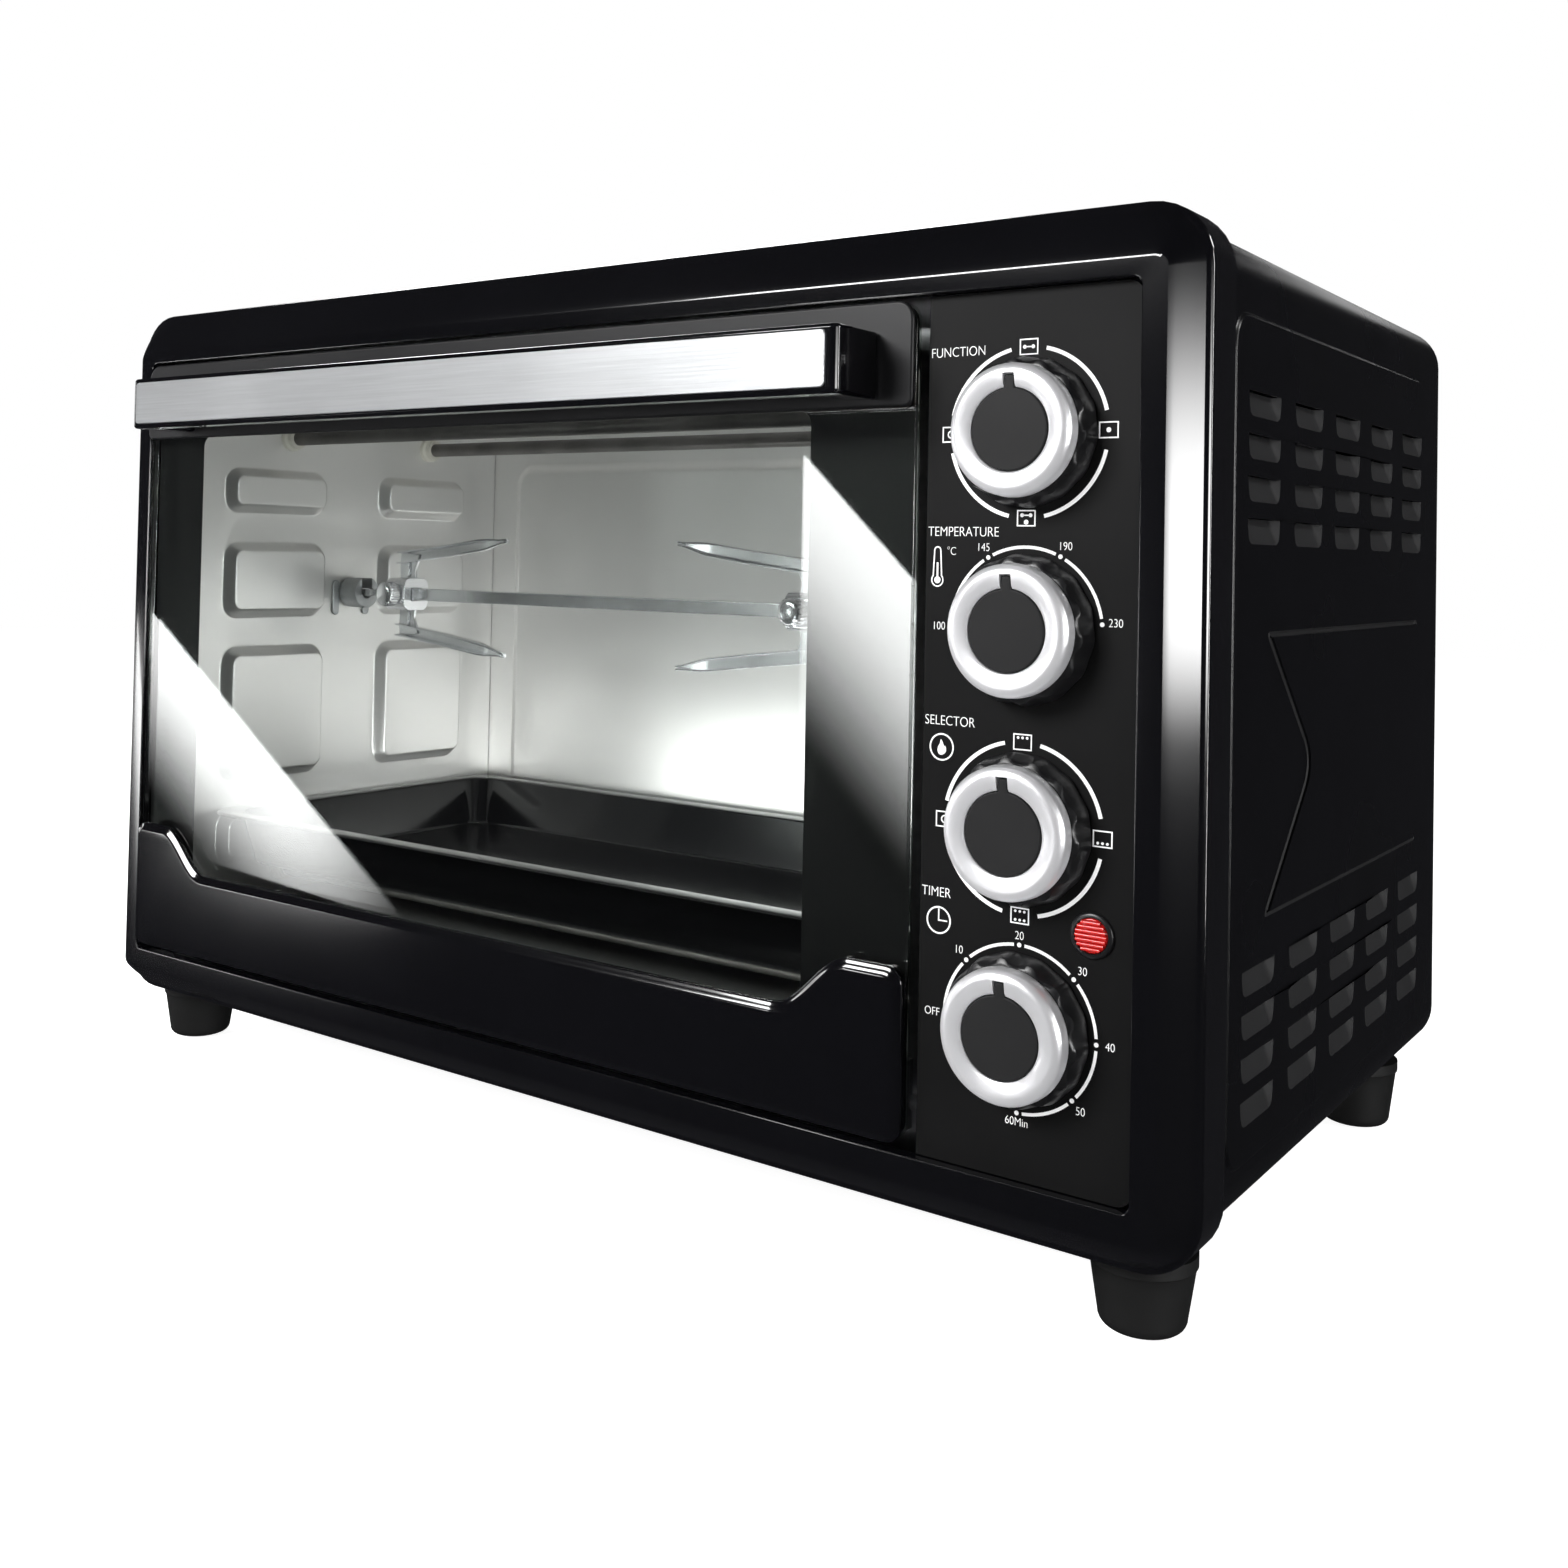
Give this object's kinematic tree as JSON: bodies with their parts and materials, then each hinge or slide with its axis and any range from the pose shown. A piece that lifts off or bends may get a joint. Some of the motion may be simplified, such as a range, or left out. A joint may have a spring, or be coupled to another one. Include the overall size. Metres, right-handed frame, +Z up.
{
  "type": "rotisserie oven",
  "caption": "Countertop rotisserie oven with a drop-down glass door, turning spit with forks, baking tray, convection fan and rotary controls on the right.",
  "frame": {"origin": "on the surface the oven stands on, under the middle of its overall box", "axes": "+X to the right seen from the front, +Y from front to back, +Z up"},
  "size_m": [0.52, 0.34, 0.338],
  "materials": {
    "bezel_gloss": "high gloss black moulding",
    "cabinet_paint": "smooth semi-gloss black paint on steel sheet",
    "panel_matt": "matt black moulding",
    "knob_black": "satin black moulding",
    "knob_chrome": "bright chrome",
    "door_gloss": "high gloss black enamel on sheet",
    "door_rail": "satin black paint",
    "door_glass": "tempered glass with a black printed border",
    "handle_silver": "satin brushed strip",
    "cavity_steel": "bright galvanised sheet",
    "zinc_steel": "zinc plated sheet",
    "heater_steel": "dull sheathed heating rod",
    "spring_steel": "plain steel wire and shafts",
    "spit_chrome": "bright nickel plate",
    "tray_enamel": "black enamel",
    "switch_plastic": "cream moulding",
    "lens_red": "ribbed red lens",
    "foot_rubber": "black rubber"
  },
  "bodies": {
    "chassis": {"front_bezel": "bezel_gloss", "cabinet_shell": "cabinet_paint", "control_fascia": "panel_matt", "rear_spacer": "panel_matt", "cavity_left_wall": "cavity_steel", "cavity_right_wall": "cavity_steel", "cavity_back_wall": "cavity_steel", "cavity_ceiling": "cavity_steel", "cavity_floor": "cavity_steel", "fan_guard": "cavity_steel", "back_panel": "zinc_steel", "base_plate": "zinc_steel", "front_frame": "zinc_steel", "spit_hanger": "zinc_steel", "spit_motor": "zinc_steel", "fan_motor": "zinc_steel", "hinge_block_left": "zinc_steel", "hinge_block_right": "zinc_steel", "heater_upper_front": "heater_steel", "heater_upper_rear": "heater_steel", "heater_lower_front": "heater_steel", "heater_lower_rear": "heater_steel", "door_spring": "spring_steel", "function_switch": "switch_plastic", "thermostat": "switch_plastic", "selector_switch": "switch_plastic", "timer_unit": "switch_plastic", "indicator_lens": "lens_red", "foot_front_left": "foot_rubber", "foot_front_right": "foot_rubber", "foot_rear_left": "foot_rubber", "foot_rear_right": "foot_rubber", "cord_gland": "foot_rubber"},
    "door": {"door_glass": "door_glass", "door_upper_rail": "door_rail", "door_handle": "bezel_gloss", "handle_plate": "handle_silver", "door_lower_panel": "door_gloss", "hinge_arm_left": "zinc_steel", "hinge_arm_right": "zinc_steel"},
    "spit": {"spit_rod": "spit_chrome", "drive_socket": "zinc_steel"},
    "fork_left_body": {"fork_left": "spit_chrome"},
    "fork_right_body": {"fork_right": "spit_chrome"},
    "thumbscrew_left_body": {"thumbscrew_left": "spit_chrome"},
    "thumbscrew_right_body": {"thumbscrew_right": "spit_chrome"},
    "fan": {"fan_impeller": "cavity_steel"},
    "tray": {"baking_tray": "tray_enamel"},
    "function_control": {"function_knob": "knob_black", "function_ring": "knob_chrome", "function_shaft": "spring_steel"},
    "temperature_control": {"temperature_knob": "knob_black", "temperature_ring": "knob_chrome", "temperature_shaft": "spring_steel"},
    "selector_control": {"selector_knob": "knob_black", "selector_ring": "knob_chrome", "selector_shaft": "spring_steel"},
    "timer_control": {"timer_knob": "knob_black", "timer_ring": "knob_chrome", "timer_shaft": "spring_steel"}
  },
  "joints": [
    {"name": "door_hinge", "type": "hinge", "parent": "chassis", "child": "door", "pos_m": [-0.0365, -0.1318, 0.0572], "axis": [1, 0, 0], "range_deg": [0, 90], "stiffness_Nm_per_rad": 0.2, "springref_deg": -68.75},
    {"name": "function_turn", "type": "hinge", "parent": "chassis", "child": "function_control", "pos_m": [0.2045, -0.1385, 0.27], "axis": [0, 1, 0], "range_deg": [-90, 180]},
    {"name": "temperature_turn", "type": "hinge", "parent": "chassis", "child": "temperature_control", "pos_m": [0.2045, -0.1385, 0.2098], "axis": [0, 1, 0], "range_deg": [-90, 90]},
    {"name": "selector_turn", "type": "hinge", "parent": "chassis", "child": "selector_control", "pos_m": [0.2045, -0.1385, 0.1496], "axis": [0, 1, 0], "range_deg": [-90, 180]},
    {"name": "timer_turn", "type": "hinge", "parent": "chassis", "child": "timer_control", "pos_m": [0.2045, -0.1385, 0.0894], "axis": [0, 1, 0], "range_deg": [-90, 180]},
    {"name": "spit_spin", "type": "hinge", "parent": "chassis", "child": "spit", "pos_m": [-0.038, -0.028, 0.208], "axis": [1, 0, 0], "continuous": true},
    {"name": "fork_left_slide", "type": "slide", "parent": "spit", "child": "fork_left_body", "axis": [1, 0, 0], "range_m": [-0.01, 0.06]},
    {"name": "fork_right_slide", "type": "slide", "parent": "spit", "child": "fork_right_body", "axis": [1, 0, 0], "range_m": [-0.02, 0.07]},
    {"name": "thumbscrew_left_turn", "type": "hinge", "parent": "fork_left_body", "child": "thumbscrew_left_body", "pos_m": [-0.19, -0.028, 0.208], "axis": [0, -1, 0], "range_deg": [0, 720]},
    {"name": "thumbscrew_right_turn", "type": "hinge", "parent": "fork_right_body", "child": "thumbscrew_right_body", "pos_m": [0.053, -0.028, 0.208], "axis": [0, -1, 0], "range_deg": [0, 720]},
    {"name": "fan_spin", "type": "hinge", "parent": "chassis", "child": "fan", "pos_m": [0.15, 0.02, 0.1575], "axis": [1, 0, 0], "continuous": true},
    {"name": "tray_slide", "type": "slide", "parent": "chassis", "child": "tray", "axis": [0, -1, 0], "range_m": [0, 0.018]}
  ]
}
